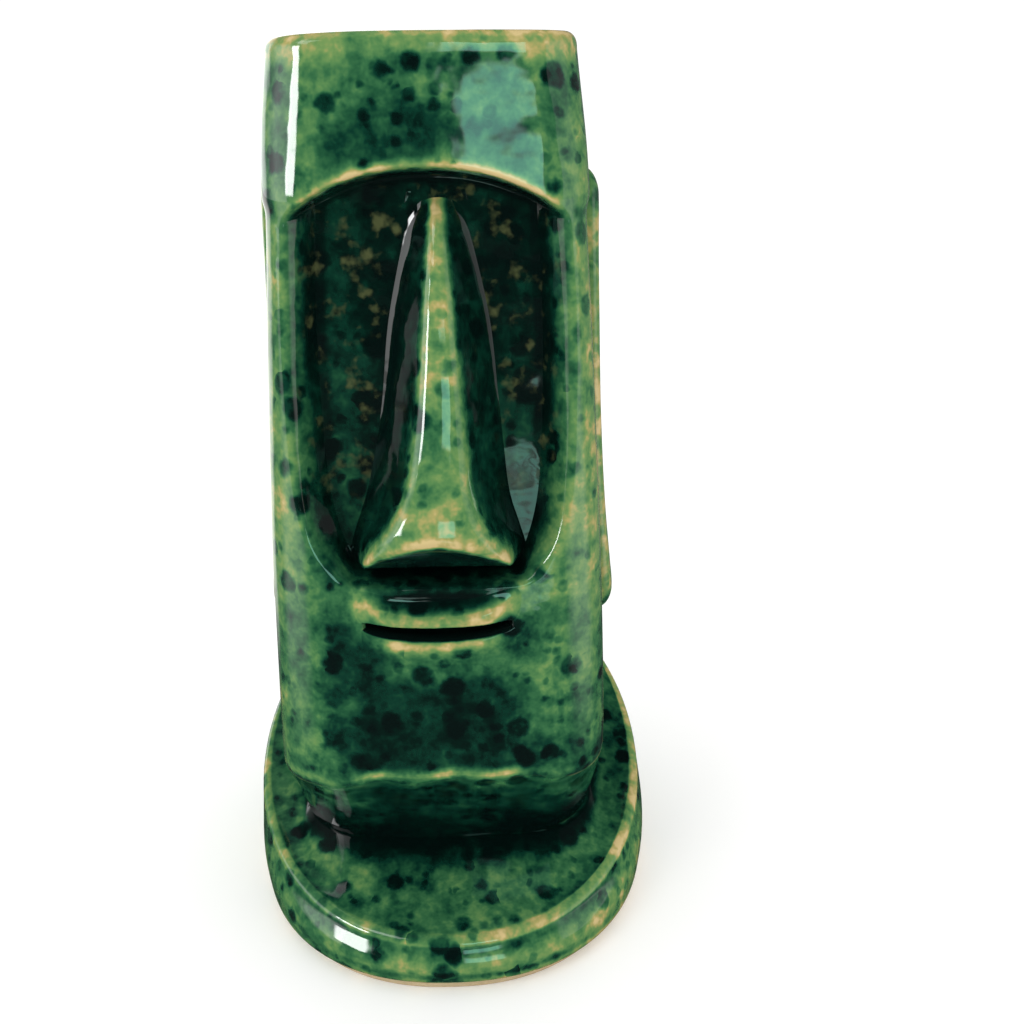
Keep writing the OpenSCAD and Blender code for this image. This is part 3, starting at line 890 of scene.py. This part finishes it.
# the glaze from where it pools dark and where shade is painted, to where it breaks to the clay
GLAZE_STOPS = [
    (0.0, (0.0012, 0.006, 0.005)),
    (0.13, (0.0012, 0.012, 0.008)),
    (0.27, (0.003, 0.036, 0.021)),
    (0.40, (0.014, 0.083, 0.036)),
    (0.53, (0.036, 0.142, 0.055)),
    (0.66, (0.088, 0.222, 0.074)),
    (0.78, (0.165, 0.285, 0.09)),
    (0.90, (0.4, 0.35, 0.125)),
    (1.0, (0.6, 0.47, 0.22)),
]


# size of a cell, radius and softness in millimetres, share of the cells that have one, and depth
SPOTS = [(6.0, 2.0, 0.6, 0.7, -0.34), (3.1, 1.0, 0.4, 0.5, -0.2)]


def green_glaze():
    m = Nodes("green_glaze")
    tone = m.add("ShaderNodeAttribute", attribute_name="tone").outputs["Fac"]
    value = m.math("MULTIPLY_ADD", m.noise(16, 2, 0.5, 0.2), 0.5, tone)
    value = m.math("MULTIPLY_ADD", m.noise(6.0, 3, 0.55, 0.25), 0.85, value)
    value = m.math("MULTIPLY_ADD", m.noise(2.3, 2, 0.6, 0.15), 0.5, value)
    value = m.math("MULTIPLY_ADD", m.noise(7, 3, 0.6, 0.2, m.stretch(1, 1, 0.13)), 0.3, value)
    calm = m.band(tone, 0.05, 0.45, 0.6, 1.0)
    value = m.math("MULTIPLY_ADD", m.math("SUBTRACT", value, tone), calm, tone)
    spotted = m.math("MULTIPLY", m.band(tone, 0.95, 0.7), m.band(tone, 0.1, 0.45, 0.5, 1.0))
    for *dot, depth in SPOTS:
        value = m.math("MULTIPLY_ADD", m.math("MULTIPLY", m.dots(*dot), spotted), depth, value)
    colour = m.ramp(value, GLAZE_STOPS)
    here = m.add("ShaderNodeAttribute", attribute_name="fleck").outputs["Fac"]
    blotch = m.math("MULTIPLY_ADD", m.noise(1.9, 2, 0.5), 0.8, m.noise(4.2, 1, 0.5))
    fleck = m.math("MULTIPLY", m.band(blotch, 0.08, 0.42), here)
    colour = m.blend(m.math("MULTIPLY", fleck, 0.72), colour, (0.1, 0.115, 0.045, 1))
    m.feed(m.bsdf.inputs["Base Color"], colour)
    m.feed(m.bsdf.inputs["Roughness"], m.band(m.noise(9, 2), -0.25, 0.3, 0.03, 0.08))
    m.bsdf.inputs["IOR"].default_value = 1.52
    bump = m.add("ShaderNodeBump")
    bump.inputs["Distance"].default_value = 0.001
    bump.inputs["Strength"].default_value = 0.5
    ripple = m.math("MULTIPLY", m.noise(3.6, 1, 0.4), 0.13)
    height = m.math("ADD", m.noise(12, 1, 0.4), ripple)
    m.feed(bump.inputs["Height"], height)
    m.feed(m.bsdf.inputs["Normal"], bump.outputs["Normal"])
    return m.mat


def bare_clay():
    m = Nodes("bare_clay")
    grain = m.noise(0.7, 4, 0.7)
    value = m.math("MULTIPLY_ADD", m.noise(6, 3), 0.6, m.math("MULTIPLY_ADD", grain, 0.5, 0.5))
    stops = [(0.0, (0.33, 0.23, 0.12)), (0.5, (0.55, 0.42, 0.25)), (1.0, (0.72, 0.61, 0.42))]
    colour = m.ramp(value, stops)
    m.feed(m.bsdf.inputs["Base Color"], colour)
    m.feed(m.bsdf.inputs["Roughness"], m.band(grain, -0.3, 0.3, 0.7, 0.9))
    bump = m.add("ShaderNodeBump")
    bump.inputs["Distance"].default_value = 0.0002
    bump.inputs["Strength"].default_value = 0.5
    m.feed(bump.inputs["Height"], grain)
    m.feed(m.bsdf.inputs["Normal"], bump.outputs["Normal"])
    return m.mat


mat, clay = green_glaze(), bare_clay()

PIECES = {
    "head_cup": head, "plinth": plinth, "nose": nose, "upper_lip": upper_lip, "lower_lip": lower_lip,
    "left_ear": left_ear, "right_ear": right_ear, "foot_ring": foot,
}
for node, ob in PIECES.items():
    ob.name = node + "_glazed" if node != "foot_ring" else "foot_ring_bare"
    ob.data.materials.append(clay if node == "foot_ring" else mat)
    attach(ob, "root")
    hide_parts(node)


# ---- camera ----------------------------------------------------------------------------
CAMERA_PLACE = (7.864, -237.66, 175.0)
CAMERA_HEADING, CAMERA_PITCH, CAMERA_ROLL = 1.77, 20.96, -0.46
SENSOR, LENS = 36, 41.379


def aim_camera():
    place = Vector(CAMERA_PLACE) * MM
    heading, pitch, roll = map(math.radians, (CAMERA_HEADING, CAMERA_PITCH, CAMERA_ROLL))
    level = Vector((math.sin(heading), math.cos(heading), 0))
    ahead = level * math.cos(pitch) - Vector((0, 0, math.sin(pitch)))
    right = Vector((math.cos(heading), -math.sin(heading), 0))
    up = right.cross(ahead)
    right_r = right * math.cos(roll) + up * math.sin(roll)
    up_r = -right * math.sin(roll) + up * math.cos(roll)
    cam_data = bpy.data.cameras.new("camera")
    cam_data.sensor_width = SENSOR
    cam_data.lens = LENS
    cam_data.clip_start = 0.01
    cam = bpy.data.objects.new("camera", cam_data)
    m = Matrix((right_r, up_r, -ahead)).transposed().to_4x4()
    m.translation = place
    cam.matrix_world = m
    bpy.context.scene.collection.objects.link(cam)
    bpy.context.scene.camera = cam


aim_camera()


# ---- floor and light ----------------------------------------------------------------------
# Azimuths run from the front towards the right and heights up from level, in degrees.
# The gloss sees a dim room with bright walls at its sides. For all else the world is even.
WORLD_LIGHT = 1.08
ROOM_DIM = 0.015
WALL_START, WALL_GLEAM = (56, 59), 2.4
WALL_FADE, RIGHT_FADE, HIGH_FADE = (84, 115, -0.8), (30, 70, -0.7), (12, 32, -0.95)
BEHIND, BEHIND_GLEAM = (-178, -122, 5), 2.0
TEAL = (0.45, 1, 0.85, 1)
# azimuth from and to, height from and to, softness of the edge, strength
KEY_WINDOW = (-62, -44, 34, 62, 1.5, 1.5)
TEAL_WINDOW = (2, 24, 6.5, 20, 1.5, 4.5)
LOW_WINDOW = (-61, -45, 8, 21, 1.5, 20.0)

FLOOR_HALF = 2.5
FLOOR_LIFT = 0.14  # a little light of its own, so that the paper is as pale as its surroundings
FLOOR_PALE, FLOOR_IN_GLOSS = (0.93, 0.93, 0.93, 1), (0.04, 0.04, 0.04, 1)
SIDE_GLEAM, BACK_GLEAM, PANE_GLEAM = 1.3, 1.6, 3.0
GLEAM_START = (0.10, 0.26)  # metres from the mug


def add_floor():
    """Pale paper, which the gloss sees as dark, with the light of the room's sides lying on it."""
    me = bpy.data.meshes.new("floor")
    r = FLOOR_HALF
    me.from_pydata([(-r, -r, 0), (r, -r, 0), (r, r, 0), (-r, r, 0)], [], [(0, 1, 2, 3)])
    floor = bpy.data.objects.new("floor", me)
    bpy.context.scene.collection.objects.link(floor)
    m = Nodes("floor_paper")
    # In the gloss the floor is dark and glows with painted reflections: the room's bright sides, a band
    # behind at the left and a teal window pane.
    glossy = m.add("ShaderNodeLightPath").outputs["Is Glossy Ray"]
    m.feed(m.bsdf.inputs["Base Color"], m.blend(glossy, FLOOR_PALE, FLOOR_IN_GLOSS))
    split = m.add("ShaderNodeSeparateXYZ")
    m.feed(split.inputs[0], m.place)
    x, y = split.outputs[0], split.outputs[1]
    turn = m.math("ARCTAN2", m.math("ABSOLUTE", x), m.math("MULTIPLY", y, -1.0))
    turn = m.math("DEGREES", turn)
    reach = m.band(m.math("SQRT", m.math("MULTIPLY_ADD", x, x, m.math("MULTIPLY", y, y))), *GLEAM_START)
    sides = m.math("MULTIPLY", m.band(turn, 44, 62), m.band(turn, 98, 78, 0.08, 1.0))
    bright = m.math("MULTIPLY", m.math("MULTIPLY", sides, reach), SIDE_GLEAM)
    back_left = m.math("MULTIPLY", m.band(turn, 116, 128), m.band(x, -0.02, -0.08))
    bright = m.math("MULTIPLY_ADD", m.math("MULTIPLY", back_left, reach), BACK_GLEAM, bright)
    across = m.math("MULTIPLY", m.band(x, 0.0, 0.02), m.band(x, 0.17, 0.15))
    along = m.math("MULTIPLY", m.band(y, -0.33, -0.35), m.band(y, -0.80, -0.72))
    pattern = m.band(m.noise(90, 2, 0.5, 1.5), -0.1, 0.1, 0.25, 1.0)
    pane = m.math("MULTIPLY", m.math("MULTIPLY", across, along), pattern)
    bright = m.math("MULTIPLY_ADD", pane, PANE_GLEAM, bright)
    m.feed(m.bsdf.inputs["Emission Color"], m.blend(pane, (1, 0.98, 0.94, 1), TEAL))
    lifted = m.math("MULTIPLY_ADD", glossy, -FLOOR_LIFT, FLOOR_LIFT)
    m.feed(m.bsdf.inputs["Emission Strength"], m.math("MULTIPLY_ADD", bright, glossy, lifted))
    m.bsdf.inputs["Roughness"].default_value = 0.9
    m.bsdf.inputs["Specular IOR Level"].default_value = 0.0
    me.materials.append(m.mat)


def add_world():
    """White all round for the eye and the soft light, and the dim room for the gloss."""
    world = bpy.data.worlds.new("studio")
    bpy.context.scene.world = world
    world.use_nodes = True
    tree = world.node_tree
    add, link = tree.nodes.new, tree.links.new
    back = tree.nodes["Background"]

    def calc(operation, a, b=0.0, c=0.0):
        node = add("ShaderNodeMath")
        node.operation = operation
        for socket, value in zip(node.inputs, (a, b, c)):
            if isinstance(value, bpy.types.NodeSocket):
                link(value, socket)
            else:
                socket.default_value = value
        return node.outputs[0]

    def step(value, low, high):
        node = add("ShaderNodeMapRange")
        node.interpolation_type = "SMOOTHSTEP"
        link(value, node.inputs["Value"])
        node.inputs["From Min"].default_value = low
        node.inputs["From Max"].default_value = high
        return node.outputs["Result"]

    split = add("ShaderNodeSeparateXYZ")
    link(add("ShaderNodeTexCoord").outputs["Generated"], split.inputs[0])
    x, y, z = split.outputs
    turn = calc("MULTIPLY", calc("ARCTAN2", x, calc("MULTIPLY", y, -1.0)), 180 / math.pi)
    lift = calc("MULTIPLY", calc("ARCSINE", z), 180 / math.pi)
    away = calc("ABSOLUTE", turn)

    def pane(value, low, high, soft):
        rising = step(value, low - soft, low + soft)
        falling = step(calc("MULTIPLY", value, -1.0), -high - soft, -high + soft)
        return calc("MULTIPLY", rising, falling)

    def window(t0, t1, l0, l1, soft, strength):
        both = calc("MULTIPLY", pane(turn, t0, t1, soft), pane(lift, l0, l1, soft))
        return calc("MULTIPLY", both, strength)

    def fade(total, value, low, high, by):
        return calc("MULTIPLY", total, calc("MULTIPLY_ADD", step(value, low, high), by, 1.0))

    total = calc("MULTIPLY_ADD", step(away, *WALL_START), WALL_GLEAM, ROOM_DIM)
    total = fade(total, away, *WALL_FADE)
    total = fade(total, turn, *RIGHT_FADE)
    total = calc("MULTIPLY_ADD", pane(turn, *BEHIND), BEHIND_GLEAM, total)
    total = fade(total, lift, *HIGH_FADE)
    for spec in (KEY_WINDOW, TEAL_WINDOW, LOW_WINDOW):
        total = calc("ADD", total, window(*spec))
    path = add("ShaderNodeLightPath")
    mixed = add("ShaderNodeMix")
    link(path.outputs["Is Glossy Ray"], mixed.inputs[0])
    mixed.inputs[2].default_value = WORLD_LIGHT
    link(total, mixed.inputs[3])
    link(mixed.outputs[0], back.inputs["Strength"])
    sky = add("ShaderNodeMix")
    sky.data_type = "RGBA"
    teal_share = window(*TEAL_WINDOW[:5], 1.0)
    link(calc("MULTIPLY", teal_share, path.outputs["Is Glossy Ray"]), sky.inputs[0])
    sky.inputs[6].default_value = (1, 1, 1, 1)
    sky.inputs[7].default_value = TEAL
    link(sky.outputs[2], back.inputs["Color"])


def add_key():
    """A soft lamp high at the left, which gives the shapes their shade."""
    data = bpy.data.lights.new("soft_key", "AREA")
    data.size = 0.35
    data.energy = 1.2
    ob = bpy.data.objects.new("soft_key", data)
    ob.location = (-0.5, -0.55, 0.75)
    ob.rotation_mode = "QUATERNION"
    ob.rotation_quaternion = (Vector((0, 0, 0.09)) - ob.location).to_track_quat("-Z", "Y")
    bpy.context.scene.collection.objects.link(ob)


add_floor()
add_world()
add_key()
bpy.context.scene.view_settings.view_transform = "Standard"
